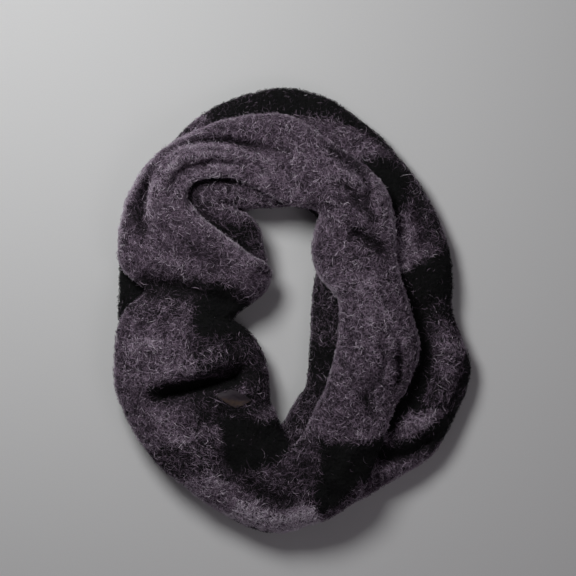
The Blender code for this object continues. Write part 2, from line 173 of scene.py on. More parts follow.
# Fold: a ridge or trough through three points in plan, its half width and rise, in mm
FRONT_FOLDS = (
    (-8, 134, -99.1, 136.2, -126, 70, 5.5, -9),
    (-130, 93, -131, 80, -126, 62, 6, -6),
    (-60, 139, -108, 116, -119, 60, 8, 4),
    (-65, 157, -129, 111, -145, 55, 6, 4),
    (-88, 92, -56, 63, -24, 42, 6, 4),
    (-100, 60, -78, 48, -52, 36, 9, -3),
    (-134, 24, -88, 16, -42, 3, 10, -9),
    (-124, -60, -86, -51, -42, -40, 9, 4),
    (-118, -75, -80, -64, -34, -50, 7.5, -22),
    (-52, -24, -50, -38, -40, -52, 7, -5),
    (-140, -40, -120, -30, -96, -34, 9, 3),
    (-66, -116, -36, -149, 6, -167, 7, -5),
    (-112, -86, -96, -112, -60, -140, 9, 4),
    (-70, -84, -44, -96, -20, -118, 7, -3),
    (12, -122, 18, -144, 44, -160, 7, -4),
    (66, -102, 48, -120, 40, -148, 7, 4),
    (44, 65, 64, 58, 80, 41, 6, -8),
    (22, 34, 31, 22, 44, 12, 6, 4),
    (50, 112, 76, 92, 88, 34, 6, 3),
    (44, 100, 62, 90, 70, 70, 6, -4),
    (87, -34, 90, -51, 86, -67, 4, -9),
    (58, -67, 64, -81, 66, -94, 5, -4),
    (52, 40, 66, -10, 62, -60, 12, 3),
)

ROLL_FOLDS = (
    (-40, 109, -72, 109.5, -89, 100, 4.5, -6),
    (-88, 100, -66, 73, -30, 45, 4.5, -7),
)

BACK_FOLDS = (
    (20, 166, 62, 160, 84, 140, 5, 5),
    (24, 176, 64, 160, 88, 136, 4, -5),
    (78, 130, 104, 92, 110, 40, 6, -4),
    (93, 38, 106, 20, 114, 4, 5, 5),
    (114, 48, 126, 34, 133, 16, 5, 4),
    (100, 14, 112, -14, 112, -50, 6, -7),
    (120, -22, 134, -40, 132, -66, 9, 5),
    (142, -38, 143, -60, 134, -84, 4, -5),
    (88, -98, 108, -96, 122, -108, 7, 5),
    (60, -118, 92, -126, 124, -104, 6, -8),
    (64, -130, 82, -138, 104, -130, 6, 4),
)

# The small creases that only the cloth has
FRONT_CREASES = (
    (-9, 121.7, -95.9, 134.5, -119, 78, 3.2, 6.5),
    (-23, 140, -73.6, 148.2, -113, 134, 3, 3.5),
    (-28, 151, -71.5, 153.2, -106, 142, 2.6, -3),
    (-19, 123.2, -88, 133.5, -115, 100, 2.6, -3.5),
    (-18.5, 123.7, -87.5, 128.7, -111, 100, 3, 3.2),
    (-25.7, 120.3, -83.1, 122.8, -104, 98, 3.2, -3.2),
    (-33.5, 116.2, -78.5, 115.9, -98, 92, 3.2, 2.4),
    (-120, 112, -127, 90, -124, 60, 4, -5),
    (-125, 118, -142, 88, -146, 50, 3, 3),
    (-128, 108, -139, 80, -141, 46, 2.8, -3.5),
    (-112, 96, -110, 76, -98, 58, 4, -1.8),
    (-84, 74, -70, 60, -50, 46, 3, -1.5),
    (-122, 46, -104, 38, -80, 36, 4, 1.5),
    (-120, 30, -90, 25, -58, 16, 3, 1.8),
    (-116, 8, -92, 4, -64, -6, 4, 2),
    (-132, -14, -118, -8, -100, -10, 4, -1.6),
    (-96, -20, -84, -30, -78, -46, 4, -1.8),
    (-74, -22, -66, -34, -62, -44, 3, 1.6),
    (-128, -92, -112, -84, -92, -84, 4, 2),
    (-124, -104, -106, -100, -88, -104, 4, -2),
    (-104, -126, -86, -124, -70, -132, 4, -2),
    (-84, -142, -62, -142, -44, -152, 4, 1.8),
    (-52, -152, -34, -164, -10, -172, 3, -2),
    (-50, -142, -32, -164, -12, -176, 3, 2),
    (-22, -126, -4, -142, 6, -160, 4, -2),
    (26, -126, 34, -144, 54, -152, 4, 1.8),
    (28, -116, 46, -112, 62, -112, 3, -2),
    (28, 139, 56, 116, 67, 88, 3.4, -10.5),
    (30, 116, 59, 104, 75, 74, 3.2, 6),
    (34, 111, 48, 101, 58, 84, 3, -3),
    (62, 114, 74, 98, 79, 72, 3, 3),
    (50, 66, 64, 59, 82, 44, 3, -1),
    (44, 58, 60, 53, 76, 38, 4, 2),
    (26, 62, 38, 68, 52, 66, 5, 2),
    (48, 24, 60, 12, 70, -4, 4, -1.8),
    (60, 30, 76, 10, 82, -18, 4, 1.8),
    (48, -12, 54, -34, 52, -58, 4, -1.6),
    (70, -20, 77, -42, 70, -68, 3, -3.2),
    (80, -22, 86, -42, 80, -68, 3, 2.8),
    (58, -30, 66, -52, 62, -82, 3.4, -2.4),
    (38, -62, 48, -74, 50, -88, 3, 1.6),
    (70, 60, 80, 44, 82, 20, 3, -1.8),
    (92, -20, 98, -36, 96, -52, 3, 3),
)

BACK_CREASES = (
    (100, 96, 112, 70, 116, 52, 4, -2),
    (112, 96, 122, 72, 126, 56, 3, 1.8),
    (104, 60, 118, 52, 130, 54, 3, -1.5),
    (104, 36, 112, 18, 122, 6, 3, -2.2),
    (112, 46, 122, 26, 126, 6, 3, 1.8),
    (118, -8, 122, -24, 120, -44, 4, -2),
    (124, -30, 126, -50, 120, -66, 3, -2),
    (130, -66, 124, -82, 112, -92, 4, 2),
    (136, -78, 126, -96, 110, -108, 3, -2.4),
    (92, -108, 108, -108, 122, -98, 3, 1.5),
    (76, -124, 94, -130, 112, -122, 3, 2),
    (-136, 40, -128, 28, -122, 10, 4, -2.5),
    (22, -40, 20, -20, 24, 0, 4, 1.6),
    (-4, -92, 4, -80, 14, -64, 4, 1.6),
)

# Folds and creases fade out towards the cloth's edges and at their own ends
FOLD_FADE = 9 * MM
FOLD_PIECES = 10
FOLD_REACH = 3
FOLD_END_SHARE = 0.2
FOLD_END_LEAST = 0.15

# The folded edges of the cloth, in layers: rounder and deeper than in the part
GROOVE_DEPTH = 2.2 * MM
LOWEST_EDGE_DEPTH = GROOVE_DEPTH * 1.3
EDGE_DEPTH = 4.6 * MM
EDGE_POINTS = 6
LAYER_THICK = 5 * MM
LAYER_WAVE = 0.5
LAYER_LIFT = 0.32
LAYER_TURN = 2.1
LAYER_WAVE_LENGTH = 93 * MM
INNER_EDGE_TURN = 1.7

# Points over the top: one share of them closer at the edges, the other share even
CLOSER_SHARE = 0.55
EVEN_SHARE = 0.45
TOP_TO_UNDERSIDE = 4
UNDERSIDE_LEAST = 5
LEAST_THICK = 4 * MM
RELAX_ROUNDS = 2

# The roll's open end closes over its last sections
ROLL_END = 10 * MM
ROLL_END_LEAST = 0.3
ROLL_END_SECTIONS = 7

# Lumps of the brushed knit: rise and size. They fade where the cloth turns down and near its foot
LUMPS = ((1.5 * MM, 26 * MM), (0.9 * MM, 11 * MM), (0.45 * MM, 5 * MM))
LUMP_FACING = -0.35
LUMP_FACING_RANGE = 0.5
LUMP_CLEARANCE = 3 * MM

CLOTH_THICK = 1.8 * MM

# The leather tab's corners in plan: left, top, right, bottom. No nap grows under most of it
TAB_CORNERS = np.array([(-67.5, -71.5), (-51, -66), (-34, -76.5), (-49, -83.5)]) * MM + CENTRE_MOVE
TAB_COVER = TAB_CORNERS * 0.9 + TAB_CORNERS.mean(axis=0) * 0.1

# Rays that look for the top of the cloth come down from here
CAST_HEIGHT = 0.3
DOWN = Vector((0, 0, -1))

# The last place on a grid is just short of its last row
GRID_END = 1.001

# No length is divided by less than this, and each seed moves the noise by this step
SMALLEST = 1e-12
NOISE_SEED_STEP = 17.3

# Checks, in sections along a wrap (p) and shares across it (q), both sheared
# Check: p first, p last, q first, q last, lean (sections a share), drift (shares a section), tone

FRONT_CHECKS = (
    (-4, 14.4, -1, 2, 0, 0, 1.04),
    (14.4, 18.8, -1, 0.57, -1.2, 0, 0.72),
    (14.6, 15.7, -1, 0.8, -1.2, 0, 0.6),
    (14.2, 20, 0.57, 2, 3, 0, 0),
    (20.6, 23.3, 0.54, 2, -0.8, -0.02, 0.58),
    # Along the deep fold the black is partly the black check and partly painted shade in the fold
    (23.4, 24.5, 0.2, 0.84, -0.5, 0, 0),
    (23.3, 26.8, 0.86, 2, 0, 0, 0.5),
    (24.6, 27, 0.46, 0.9, 1.5, 0, 0.52),
    (25.9, 31.3, 0.52, 2, 5.6, -0.05, 0),
    (27.9, 31.5, -1, 0.4, 1, -0.05, 0.62),
    # The light check along the bottom, its tone above 1 lightening it past the light yarn: partly its own
    # light colour, partly painted light
    (31, 37.2, -1, 0.29, 3, 0, 1.6),
    (31.6, 37.6, 0.33, 2, 5.6, 0, 0.7),
    (37.6, 44.2, -9, 0.04, 5.6, -0.59, 0),
    (34.2, 39.2, -1, 0.09, 0, 0, 0.8),
    # Painted light on the bottom rim, which faces away from the lamp
    (32.2, 36.6, -1, 0.24, 0, 0, 3.8),
    (33.6, 35.4, -1, 0.02, 2, 0, 0.25),
)
FRONT_TONE = 0.90

BACK_CHECKS = (
    (33.5, 36.9, -1, 0.5, 2, 0, 0.02),
    (32.9, 33.7, -1, 0.5, -3.2, 0, 0.84),
    (30.5, 33.2, -1, 0.5, -3.2, 0, 1.75),
    (34.7, 36.4, -1, 0.05, 0, 0, 0.56),
    (33, 34.8, -1, 0.12, 0, 0, 0.64),
    (30.3, 32.1, -1, 0.45, -2, 0, 0.03),
    (25.6, 31.3, 0.23, 0.46, 0, 0, 0.02),
    (30.1, 31.3, -1, 0.23, 0, 0, 0.3),
    (28, 30.6, 0.02, 0.24, 0, 0, 0.8),
    (26.4, 27.6, -1, 0.25, -2, 0, 0.58),
    (25.2, 26.3, 0.07, 0.31, -2, 0, 1),
    (17, 21.9, -1, 0.5, -8.7, 0, 0.9),
    (21.8, 23.2, -1, 0.44, -8.7, 0, 0.03),
    (28, 29.4, -1, 0.035, 0, 0, 0.08),
    (8.8, 12.3, -1, 0.4, 0, 0, 0.03),
    (0, 2.8, -1, 0.2, 0, 0, 0.18),
    (36.3, 40.2, -1, 0.15, 0, 0.07, 0.1),
    (31.6, 33.2, 0.4, 0.6, 0, 0, 0.5),
    (21, 24.6, 0.6, 2, 0, 0, 0.6),
    (24.6, 27, 0.6, 2, 0, 0, 0.45),
    (27, 29, 0.6, 2, 0, 0, 0.22),
    (29, 33.5, 0.6, 2, 0, 0, 0.56),
    (33.5, 38, 0.6, 2, 0, 0, 0.12),
    (3.5, 7, -1, 0.45, 0, 0, 0.55),
    (14.5, 17.5, -1, 0.45, 0, 0, 0.05),
    (17.5, 20.5, -1, 0.45, 0, 0, 0.55),
    (4, 8, 0.55, 2, 0, 0, 0.1),
    (11, 14, 0.55, 2, 0, 0, 0.55),
    (14, 17, 0.55, 2, 0, 0, 0.05),
)
BACK_TONE = 0.95

ROLL_CHECKS = (
    (9.2, 11.6, 0.1, 0.95, 0, 0, 0.52),
)
ROLL_TONE = 0.9

# The checks' edges: how soft they are, and how far they waver in wide and in fine waves
CHECK_SOFT_ALONG = 0.3
CHECK_SOFT_ACROSS = 0.035
WAVER_SIZES = (9 * MM, 3.5 * MM)
WAVER_ALONG = (0.12, 0.10)
WAVER_ACROSS = (0.014, 0.012)

# Sections count round a closed wrap; on an open roll they never come round
OPEN_TURN = 1000


def smooth(a):
    """Eases from 0 to 1 while a goes from 0 to 1."""
    a = np.clip(a, 0.0, 1.0)
    return a * a * (3 - 2 * a)


def soft_step(a, width):
    """0 below and 1 above, with a soft step of this width at 0."""
    return smooth(a / width + 0.5)


def unit(v):
    return v / np.maximum(np.linalg.norm(v, axis=-1, keepdims=True), SMALLEST)


def noise_at(points, scale, seed):
    """Smooth noise from -1 to 1 at each point, with features of about this size."""
    flat = points.reshape(-1, 3) / scale + seed * NOISE_SEED_STEP
    values = np.array([noise.noise(Vector(p)) for p in flat])
    return values.reshape(points.shape[:-1])


class Track:
    """The sections along a heap, on a smooth curve through the rows."""

    def __init__(self, rows, closed):
        rows = np.array(rows, dtype=float) * MM
        rows[:, (0, 2)] += CENTRE_MOVE[0]
        rows[:, (1, 3)] += CENTRE_MOVE[1]
        self.closed = closed
        self.turn = len(rows) if closed else OPEN_TURN
        if closed:
            self.rows = np.vstack([rows[-1:], rows, rows[:2]])
        else:
            self.rows = np.vstack([rows[:1], rows, rows[-1:]])
        middles = (self.rows[:, 0:2] + self.rows[:, 2:4]) / 2
        steps = np.linalg.norm(np.diff(middles, axis=0), axis=1)
        self.station = np.concatenate([[0.0], np.cumsum(steps)]) - steps[0]
        self.length = self.station[-2]

    def knot(self, places):
        """The row before each place, and the share of the way to the next row."""
        if self.closed:
            places = places % self.length
        k = np.searchsorted(self.station, places, side="right") - 1
        k = np.clip(k, 1, len(self.station) - 3)
        share = (places - self.station[k]) / (self.station[k + 1] - self.station[k])
        return k, share

    def index(self, places):
        """The section number, counted from the first, between two as well."""
        k, share = self.knot(places)
        return k - 1 + share

    def at(self, places):
        """The section at each place, on a cubic curve through the rows."""
        k, share = self.knot(places)
        rows, station = self.rows, self.station
        length = (station[k + 1] - station[k])[:, None]
        share = share[:, None]
        a, b = rows[k], rows[k + 1]
        slope_a = (b - rows[k - 1]) / (station[k + 1] - station[k - 1])[:, None] * length
        slope_b = (rows[k + 2] - a) / (station[k + 2] - station[k])[:, None] * length
        s2, s3 = share**2, share**3
        value = (2 * s3 - 3 * s2 + 1) * a + (s3 - 2 * s2 + share) * slope_a
        return value + (3 * s2 - 2 * s3) * b + (s3 - s2) * slope_b


def fold_path(row):
    """The points along a fold, on the curve through its three points in plan."""
    start, via, end = (np.array(row[i : i + 2], dtype=float) for i in (0, 2, 4))
    bend = via * 2 - (start + end) / 2
    t = np.linspace(0, 1, FOLD_PIECES + 1)[:, None]
    path = (start * (1 - t) ** 2 + bend * 2 * t * (1 - t) + end * t * t) * MM
    return path + np.array(CENTRE_MOVE)


def fold_rise(table, spots):
    """How far the folds raise or lower the cloth at points in plan."""
    total = np.zeros(spots.shape[:-1])
    for row in table:
        path = fold_path(row)
        half_width, rise = row[6] * MM, row[7] * MM
        reach = half_width * FOLD_REACH
        low, high = path.min(axis=0) - reach, path.max(axis=0) + reach
        near = np.all((spots > low) & (spots < high), axis=-1)
        if not near.any():
            continue
        p = spots[near]
        nearest = np.full(len(p), reach)
        at = np.zeros(len(p))
        for i in range(FOLD_PIECES):
            piece = path[i + 1] - path[i]
            share = np.clip(((p - path[i]) @ piece) / (piece @ piece), 0.0, 1.0)
            apart = np.linalg.norm(p - path[i] - piece * share[:, None], axis=1)
            closer = apart < nearest
            nearest[closer] = apart[closer]
            at[closer] = (i + share[closer]) / FOLD_PIECES
        ends = np.minimum(1.0, np.minimum(at, 1 - at) / FOLD_END_SHARE + FOLD_END_LEAST)
        total[near] += rise * ends * np.exp(-((nearest / half_width) ** 2))
    return total


class Support:
    """The tops of what a wrap lies on, on a grid in plan, held up by all within a reach."""

    STEP = 1.5 * MM
    REACH = 7.5 * MM
    LOW = np.array([-0.170, -0.206])
    COUNT = (230, 276)

    def __init__(self, trees):
        tops = np.zeros(self.COUNT)
        for i, j in np.ndindex(self.COUNT):
            x, y = self.LOW + np.array([i, j]) * self.STEP
            for tree in trees:
                hit = tree.ray_cast(Vector((x, y, CAST_HEIGHT)), DOWN)
                if hit[0] is not None and hit[0].z > tops[i, j]:
                    tops[i, j] = hit[0].z
        reach = int(self.REACH / self.STEP)
        self.heights = tops
        for di in range(-reach, reach + 1):
            for dj in range(-reach, reach + 1):
                if di * di + dj * dj <= reach * reach:
                    self.heights = np.maximum(self.heights, np.roll(tops, (di, dj), (0, 1)))

    def at(self, spots):
        """The height at points in plan, a gap above what is below."""
        heights = self.heights
        places = (spots - self.LOW) / self.STEP
        for axis, count in enumerate(self.COUNT):
            places[..., axis] = np.clip(places[..., axis], 0, count - GRID_END)
        cells = places.astype(int)
        shares = places - cells
        a, b = cells[..., 0], cells[..., 1]
        u, v = shares[..., 0], shares[..., 1]
        low = heights[a, b] * (1 - u) + heights[a + 1, b] * u
        high = heights[a, b + 1] * (1 - u) + heights[a + 1, b + 1] * u
        return low * (1 - v) + high * v + GAP


class Heap:
    """A grid of points round each section of a heap, with the cloth's own folds and lumps."""

    def __init__(self, rows, closed, step, top_points, layers, shape, phase, folds, creases, support, seed):
        self.track = Track(rows, closed)
        self.closed = closed
        self.step = step
        self.layers = layers
        self.phase = phase
        self.support = support
        self.set_sections()

        foot_outer = self.below(np.full((len(self.places), 1), GROOVE_DEPTH))[:, 0]
        foot_inner = self.below((self.width - GROOVE_DEPTH)[:, None])[:, 0]
        thick = layers * LAYER_THICK * self.fullness
        top_outer, top_inner = foot_outer + thick, foot_inner + thick
        outer_in, outer_z = self.edge(top_outer, foot_outer, 0.0)
        inner_in, inner_z = self.edge(top_inner, foot_inner, INNER_EDGE_TURN)
        over, over_z = self.top(top_points, top_outer, top_inner, shape, folds, creases)
        under, under_z = self.underside(max(UNDERSIDE_LEAST, top_points // TOP_TO_UNDERSIDE))

        distance = np.concatenate([outer_in, over, self.width[:, None] - inner_in[:, ::-1], under], axis=1)
        height = np.concatenate([outer_z, over_z, inner_z[:, ::-1], under_z], axis=1)
        self.grid = np.concatenate([self.spots(distance), height[..., None]], axis=2)
        self.share = distance / self.width[:, None]
        self.index = np.broadcast_to(self.track.index(self.places)[:, None], self.share.shape)
        sides = layers * EDGE_POINTS
        self.middle = sides + top_points // 2
        self.bottom_start = 2 * sides + top_points
        self.relax(RELAX_ROUNDS)
        self.lump(seed)

    def set_sections(self):
        """Where the sections are, and how full each is towards an open end."""
        track = self.track
        if self.closed:
            count = round(track.length / self.step)
            self.places = np.arange(count) * track.length / count
            self.fullness = np.ones(count)
        else:
            ends = ROLL_END * (1 - np.cos(np.linspace(0, math.pi / 2, ROLL_END_SECTIONS)))
            whole = np.arange(0, track.length - ROLL_END, self.step)
            self.places = np.concatenate([whole, track.length - ends[::-1]])
            to_end = np.minimum(1.0, (track.length - self.places) / ROLL_END)
            self.fullness = np.maximum(ROLL_END_LEAST, np.sqrt(1 - (1 - to_end) ** 2))
        section = track.at(self.places)
        self.outer, inner = section[:, 0:2], section[:, 2:4]
        self.width = np.linalg.norm(inner - self.outer, axis=1)
        self.across = (inner - self.outer) / self.width[:, None]
        self.crest = section[:, 4]
        self.rest = np.maximum(section[:, 5], 0.0)

    def spots(self, distance):
        """The points in plan at these distances from the outer edge."""
        return self.outer[:, None] + self.across[:, None] * distance[..., None]

    def below(self, distance):
        """The height of what the heap lies on, at these distances from the outer edge."""
        if self.support is None:
            return np.broadcast_to(self.rest[:, None], distance.shape).copy()
        return np.maximum(self.support.at(self.spots(distance)), self.rest[:, None])

    def edge(self, top, foot, turn_offset):
        """One folded edge in layers: how far each of its points is set in, and its height."""
        insets, heights = [], []
        for layer in range(self.layers):
            turn = 2 * math.pi * self.places / LAYER_WAVE_LENGTH + LAYER_TURN * layer
            turn = turn + self.phase + turn_offset
            wave = 1 + LAYER_WAVE * np.sin(turn)
            lift = LAYER_LIFT * np.cos(turn) if layer else np.zeros(len(turn))
            depth = EDGE_DEPTH if layer else LOWEST_EDGE_DEPTH
            for k in range(EDGE_POINTS):
                s = k / EDGE_POINTS
                bulge = 1 - math.sqrt(max(0.0, 1 - (2 * s - 1) ** 2))
                if layer == self.layers - 1 and s > 0.5:
                    bulge = 0.0
                level = (layer + lift + s * (1 - lift)) / self.layers
                insets.append(depth * bulge * wave)
                heights.append(foot + (top - foot) * level)
        return np.array(insets).T, np.array(heights).T

    def top(self, count, top_outer, top_inner, shape, folds, creases):
        """The top from edge to edge, arched up to the crest and folded."""
        middles = np.arange(count) + 0.5
        a = 0.5 - 0.5 * np.cos(math.pi * middles / count)
        a = a * CLOSER_SHARE + EVEN_SHARE * middles / count
        a = np.broadcast_to(a, (len(self.places), count))
        power, fullness = shape
        level = top_outer[:, None] + (top_inner - top_outer)[:, None] * a
        arch = (1 - np.abs(2 * a - 1) ** power) ** fullness
        z = level + (np.maximum(self.crest[:, None], level) - level) * arch * self.fullness[:, None]
        distance = a * self.width[:, None]
        plan = self.spots(distance)
        to_edge = np.minimum(a, 1 - a) * self.width[:, None]
        fade = np.minimum(1.0, to_edge / FOLD_FADE) * self.fullness[:, None]
        z = z + (fold_rise(folds, plan) + fold_rise(creases, plan)) * fade
        return distance, np.maximum(z, self.below(distance) + LEAST_THICK)

    def underside(self, count):
        """The side that lies on what is below, from the inner foot back to the outer one."""
        share = np.arange(1, count + 1) / (count + 1)
        distance = (self.width - GROOVE_DEPTH)[:, None]
        distance = distance + (2 * GROOVE_DEPTH - self.width)[:, None] * share[None, :]
        return distance, self.below(distance)

    def relax(self, rounds):
        """Takes the corners off, without moving the underside."""
        g = self.grid
        for _ in range(rounds):
            around = (np.roll(g, 1, 1) + np.roll(g, -1, 1)) / 2
            if self.closed:
                along = (np.roll(g, 1, 0) + np.roll(g, -1, 0)) / 2
            else:
                along = g.copy()
                along[1:-1] = (g[2:] + g[:-2]) / 2
            new = g * 0.5 + around * 0.25 + along * 0.25
            new[:, self.bottom_start :] = g[:, self.bottom_start :]
            g = new
        self.grid = g

    def lump(self, seed):
        """Soft lumps of the brushed knit, none on the underside."""
        g = self.grid
        n = self.normals()
        free = np.clip((n[..., 2] - LUMP_FACING) / LUMP_FACING_RANGE, 0.0, 1.0)
        free[:, self.bottom_start :] = 0
        low = g[:, :, 2].min(axis=1, keepdims=True)
        free = free * np.clip((g[..., 2] - low) / LUMP_CLEARANCE, 0.0, 1.0)
        rise = sum(height * noise_at(g, size, seed + k) for k, (height, size) in enumerate(LUMPS))
        self.grid = g + n * (rise * free)[..., None]
        self.grid[..., 2] = np.maximum(self.grid[..., 2], 0.0)

    def runs(self):
        """How the cloth runs around and along from the point before each grid point to the one after."""
        g = self.grid
        along = np.roll(g, -1, 0) - np.roll(g, 1, 0) if self.closed else 2 * np.gradient(g, axis=0)
        return np.roll(g, -1, 1) - np.roll(g, 1, 1), along

    def normals(self):
        n = unit(np.cross(*self.runs()))
        return -n if n[:, self.middle, 2].mean() < 0 else n


def mesh_object(name, points, faces):
    """A smooth mesh from arrays of points and of faces with the same number of corners."""
    mesh = bpy.data.meshes.new(name)
    mesh.vertices.add(len(points))
    mesh.vertices.foreach_set("co", points.astype(np.float32).ravel())
    corners = np.concatenate([f.ravel() for f in faces]).astype(np.int32)
    counts = np.concatenate([np.full(len(f), f.shape[1]) for f in faces])
    mesh.loops.add(len(corners))
    mesh.loops.foreach_set("vertex_index", corners)
    mesh.polygons.add(len(counts))
    starts = np.concatenate([[0], np.cumsum(counts)[:-1]]).astype(np.int32)
    mesh.polygons.foreach_set("loop_start", starts)
    mesh.polygons.foreach_set("use_smooth", np.full(len(counts), True))
    mesh.update(calc_edges=True)
    mesh.validate()
    ob = bpy.data.objects.new(name, mesh)
    bpy.context.scene.collection.objects.link(ob)
    return ob


def tube(name, heap):
    """The shell round a heap, one closed skin."""
    n, m = heap.grid.shape[:2]
    ids = np.arange(n * m).reshape(n, m)
    i = np.arange(n if heap.closed else n - 1)[:, None]
    j = np.arange(m)[None, :]
    after_i, after_j = (i + 1) % n, (j + 1) % m
    quads = np.stack([ids[i, j], ids[after_i, j], ids[after_i, after_j], ids[i, after_j]], axis=-1)
    ob = mesh_object(name, heap.grid.reshape(-1, 3), [quads.reshape(-1, 4)])
    if ob.data.polygons[heap.middle].normal.z < 0:
        ob.data.flip_normals()
    return ob


def add_wall(ob, thick):
    """Turns a skin into a shell of this thickness, inwards."""
    wall = ob.modifiers.new("wall", "SOLIDIFY")
    wall.thickness = thick
    wall.offset = -1.0


def put_attribute(mesh, name, values):
    layer = mesh.attributes.new(name, "FLOAT", "POINT")
    layer.data.foreach_set("value", values.astype(np.float32).ravel())


# A heap with its cloth and looks: hiders are the surfaces that cover it, folds the ridges and troughs
# painted lighter and darker on its strands, naps its strands, and cover is an outline that no strand
# crosses
Wrap = namedtuple("Wrap", "name heap cloth checks tone folds seed hiders naps cover")


def waver(points, reach, seed):
    """How far a check's hairy edge strays at each point."""
    wide = reach[0] * noise_at(points, WAVER_SIZES[0], seed)
    return wide + reach[1] * noise_at(points, WAVER_SIZES[1], seed + 1)


def tone_of(wrap, index, share, points):
    """How light the cloth's checks are, 0 black and 1 light, with hairy edges."""
    waver_p = waver(points, WAVER_ALONG, wrap.seed)
    waver_q = waver(points, WAVER_ACROSS, wrap.seed + 2)
    turn = wrap.heap.track.turn
    tone = np.full(index.shape, wrap.tone, dtype=float)
    for p0, p1, q0, q1, lean, drift, value in wrap.checks:
        middle = (p0 + p1) / 2
        along = (index - middle + turn / 2) % turn - turn / 2 + middle
        p = along - lean * (share - 0.5) + waver_p
        q = share - drift * (along - middle) + waver_q
        within = soft_step(p - p0, CHECK_SOFT_ALONG) * soft_step(p1 - p, CHECK_SOFT_ALONG)
        within = within * soft_step(q - q0, CHECK_SOFT_ACROSS) * soft_step(q1 - q, CHECK_SOFT_ACROSS)
        tone = tone + (value - tone) * within
    return tone


# Materials: the ramps' stops are a position and a colour

YARN_RAMP = (
    (0.00, (0.0085, 0.0095, 0.0090)),
    (0.14, (0.0170, 0.0155, 0.0175)),
    (0.34, (0.0700, 0.0510, 0.0720)),
    (0.56, (0.2150, 0.1580, 0.2200)),
    (0.80, (0.4600, 0.3700, 0.4700)),
    (1.00, (0.7400, 0.6700, 0.7600)),
)
LEATHER_RAMP = (
    (0.05, (0.022, 0.014, 0.022)),
    (0.45, (0.034, 0.022, 0.029)),
    (1.00, (0.085, 0.051, 0.032)),
)
FLOOR_RAMP = (
    (0.00, (0.700, 0.700, 0.708)),
    (1.00, (0.745, 0.745, 0.752)),
)

# The second, coarser mottle of the yarn, against the first
COARSE_SCALE = 0.22
COARSE_SPREAD = 0.6


def link(tree, a, b):
    tree.links.new(a, b)


def new_material(name):
    material = bpy.data.materials.new(name)
    material.use_nodes = True
    return material, material.node_tree, material.node_tree.nodes["Principled BSDF"]


def attribute_node(tree, name):
    node = tree.nodes.new("ShaderNodeAttribute")
    node.attribute_name = name
    return node.outputs["Fac"]


def noise_node(tree, place, scale, detail):
    node = tree.nodes.new("ShaderNodeTexNoise")
    node.inputs["Scale"].default_value = scale
    node.inputs["Detail"].default_value = detail
    link(tree, place.outputs["Object"], node.inputs["Vector"])
    return node


def add_spread(tree, total, value, amount):
    """Adds a value from 0 to 1 to the total, as minus to plus half the amount."""
    spread = tree.nodes.new("ShaderNodeMath")
    spread.operation = "MULTIPLY_ADD"
    spread.inputs[1].default_value = amount
    spread.inputs[2].default_value = -amount / 2
    link(tree, value, spread.inputs[0])
    adding = tree.nodes.new("ShaderNodeMath")
    adding.operation = "ADD"
    link(tree, total, adding.inputs[0])
    link(tree, spread.outputs[0], adding.inputs[1])
    return adding.outputs[0]


def ramp_colour(tree, value, stops, interpolation="LINEAR"):
    """The colour that a value has on a ramp through the stops."""
    node = tree.nodes.new("ShaderNodeValToRGB")
    node.color_ramp.interpolation = interpolation
    elements = node.color_ramp.elements
    while len(elements) < len(stops):
        elements.new(0.5)
    for element, (position, colour) in zip(elements, stops):
        element.position = position
        element.color = (*colour, 1.0)
    link(tree, value, node.inputs["Fac"])
    return node.outputs["Color"]


def add_bump(tree, shader, height, strength, distance):
    bump = tree.nodes.new("ShaderNodeBump")
    bump.inputs["Strength"].default_value = strength
    bump.inputs["Distance"].default_value = distance
    link(tree, height, bump.inputs["Height"])
    link(tree, bump.outputs["Normal"], shader.inputs["Normal"])


def cloth_material(name, grain, spread):
    """Heathered, brushed yarn: the shade attribute, mottled at the size of its fibres."""
    material, tree, shader = new_material(name)
    place = tree.nodes.new("ShaderNodeTexCoord")
    total = attribute_node(tree, "shade")
    mottles = ((grain, spread, 3.0), (grain * COARSE_SCALE, spread * COARSE_SPREAD, 2.0))
    for scale, amount, detail in mottles:
        mottle = noise_node(tree, place, scale, detail)
        mottle.inputs["Roughness"].default_value = 0.6
        total = add_spread(tree, total, mottle.outputs["Fac"], amount)
    link(tree, ramp_colour(tree, total, YARN_RAMP), shader.inputs["Base Color"])
    shader.inputs["Roughness"].default_value = 0.92
    shader.inputs["Specular IOR Level"].default_value = 0.08
    shader.inputs["Sheen Weight"].default_value = 0.04
    shader.inputs["Sheen Roughness"].default_value = 0.55
    shader.inputs["Sheen Tint"].default_value = (0.86, 0.78, 0.90, 1.0)
    return material, tree, shader, place


def knit_material(name):
    """The shell under the nap, with the bump of loose yarn."""
    material, tree, shader, place = cloth_material(name, grain=900.0, spread=0.34)
    yarn = noise_node(tree, place, scale=700.0, detail=4.0)
    yarn.inputs["Distortion"].default_value = 1.2
    add_bump(tree, shader, yarn.outputs["Fac"], strength=0.7, distance=0.0012)
    return material


def fibre_material(name):
    return cloth_material(name, grain=300.0, spread=0.12)[0]


def leather_material(name):
    """Brown suede, greyed by lint where the wear attribute is low."""
    material, tree, shader = new_material(name)
    place = tree.nodes.new("ShaderNodeTexCoord")
    patches = noise_node(tree, place, scale=420.0, detail=4.0)
    total = add_spread(tree, attribute_node(tree, "wear"), patches.outputs["Fac"], 0.9)
    link(tree, ramp_colour(tree, total, LEATHER_RAMP), shader.inputs["Base Color"])
    grain = tree.nodes.new("ShaderNodeTexVoronoi")
    grain.inputs["Scale"].default_value = 1100.0
    link(tree, place.outputs["Object"], grain.inputs["Vector"])
    add_bump(tree, shader, grain.outputs["Distance"], strength=0.5, distance=0.0003)
    shader.inputs["Roughness"].default_value = 0.72
    return material


def floor_material(name):
    material, tree, shader = new_material(name)
    place = tree.nodes.new("ShaderNodeTexCoord")
    tooth = noise_node(tree, place, scale=900.0, detail=3.0)
    link(tree, ramp_colour(tree, tooth.outputs["Fac"], FLOOR_RAMP), shader.inputs["Base Color"])
    shader.inputs["Roughness"].default_value = 0.9
    shader.inputs["Specular IOR Level"].default_value = 0.1
    return material


# The nap: strands that lie along the cloth

